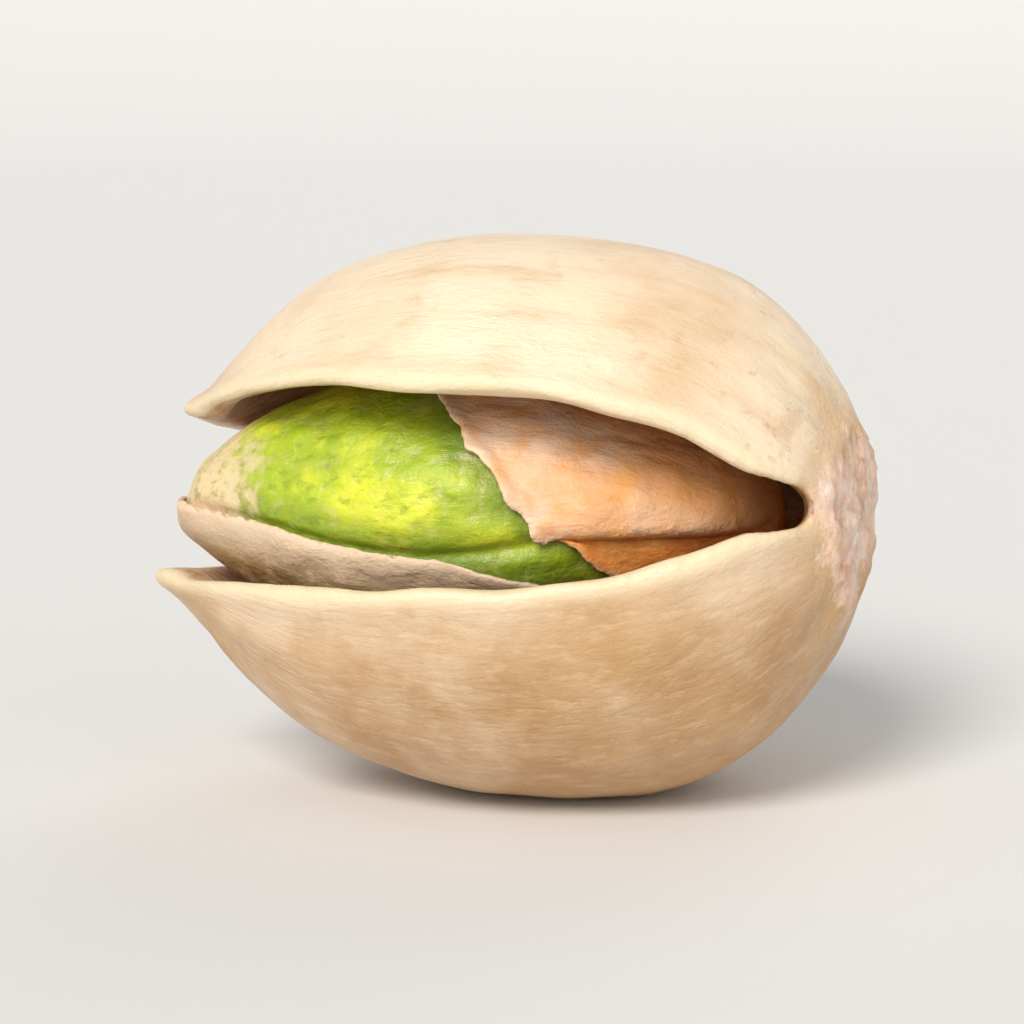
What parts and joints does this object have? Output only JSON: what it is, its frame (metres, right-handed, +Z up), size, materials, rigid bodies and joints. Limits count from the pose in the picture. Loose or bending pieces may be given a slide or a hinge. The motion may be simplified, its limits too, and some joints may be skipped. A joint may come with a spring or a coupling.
{
  "type": "pistachio in shell",
  "caption": "Roasted pistachio lying on one valve, its hard shell sprung open along the seam, with the plump green kernel and torn seed skin showing in the gap.",
  "frame": {"origin": "on the ground, under the middle of the nut's bounding box", "axes": "+X from the beaks to the stem end, -Y towards the front edge where the shell has split, +Z up, from the valve it lies on to the upper valve"},
  "size_m": [0.0208, 0.0144, 0.016],
  "materials": {
    "shell": "smooth woody nutshell, cream to tan, satin",
    "kernel": "oily seed, yellow-green flesh with thin pink and tan seed skin, semi-gloss"
  },
  "bodies": {
    "root": {"shell": "shell", "kernel": "kernel"}
  },
  "joints": []
}
